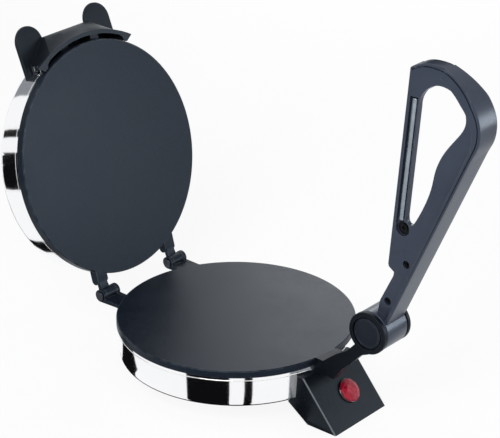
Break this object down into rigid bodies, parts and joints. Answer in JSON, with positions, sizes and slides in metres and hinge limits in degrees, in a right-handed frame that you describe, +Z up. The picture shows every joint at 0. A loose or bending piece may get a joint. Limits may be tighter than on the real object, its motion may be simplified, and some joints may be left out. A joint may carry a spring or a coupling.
{
  "type": "roti maker",
  "caption": "Electric flatbread press: round hinged hotplates in bright drums, lifting ears, a tall pressing lever and a terminal box with an indicator lamp.",
  "frame": {"origin": "on the worktop plane, under the middle of the whole outline with the lid open", "axes": "+Z up; -Y the front with the lever and the terminal box; +Y the hinge side; X along the hinge axis"},
  "size_m": [0.22, 0.4955, 0.3559],
  "materials": {
    "coated_plate": "dark non-stick coating, matte",
    "chrome_sheet": "mirror chrome",
    "lever_moulding": "dark blue-grey, semi-gloss",
    "black_moulding": "black heat-resistant moulding, semi-gloss",
    "box_plastic": "black, semi-gloss",
    "wool": "pressed mineral fibre",
    "element_sheath": "heat-tinted sheath",
    "aluminised_sheet": "dull sheet",
    "pale_plastic": "off-white, matte",
    "red_lens": "translucent red, glossy",
    "rubber_black": "matte black",
    "bright_steel": "bright",
    "brass_bush": "machined",
    "zinc_steel": "zinc plated"
  },
  "bodies": {
    "base": {"lower_plate": "coated_plate", "base_drum": "chrome_sheet", "base_element": "element_sheath", "base_element_clamp": "aluminised_sheet", "base_insulation": "wool", "base_reflector": "aluminised_sheet", "base_spacers": "zinc_steel", "base_tie_bolt": "zinc_steel", "base_thermostat": "pale_plastic", "base_lead_grommet": "rubber_black", "hinge_pins": "zinc_steel", "hinge_circlips": "zinc_steel", "lever_bracket": "black_moulding", "bracket_foot_screws": "zinc_steel", "pivot_pin": "zinc_steel", "pivot_collar": "black_moulding", "pivot_caps": "black_moulding", "pivot_washers": "zinc_steel", "terminal_box": "box_plastic", "terminal_box_screws": "zinc_steel", "terminal_box_cover": "box_plastic", "box_cover_screws": "zinc_steel", "terminal_block": "pale_plastic", "indicator_bezel": "box_plastic", "indicator_lens": "red_lens", "indicator_holder": "pale_plastic", "cord_gland": "box_plastic", "rear_feet": "rubber_black", "foot_screws": "zinc_steel"},
    "lid": {"upper_plate": "coated_plate", "lid_drum": "chrome_sheet", "lid_element": "element_sheath", "lid_element_clamp": "aluminised_sheet", "lid_insulation": "wool", "lid_reflector": "aluminised_sheet", "lid_spacers": "zinc_steel", "lid_tie_bolt": "zinc_steel", "lid_thermostat": "pale_plastic", "lid_lead_grommet": "rubber_black", "lid_bracket": "black_moulding", "lid_bracket_screws": "zinc_steel", "lid_bracket_clips": "bright_steel", "pressure_saddle": "black_moulding", "saddle_screws": "zinc_steel"},
    "lever": {"lever_grip": "lever_moulding", "lever_bush": "brass_bush", "lever_rod": "bright_steel", "lever_strap": "zinc_steel", "lever_screws": "zinc_steel"}
  },
  "joints": [
    {"name": "lid_hinge", "type": "hinge", "parent": "base", "child": "lid", "pos_m": [0, 0.1363, 0.057], "axis": [1, 0, 0], "range_deg": [0, 105.7]},
    {"name": "lever_pivot", "type": "hinge", "parent": "base", "child": "lever", "pos_m": [0, -0.1476, 0.1011], "axis": [-1, 0, 0], "range_deg": [0, 94.7]}
  ]
}
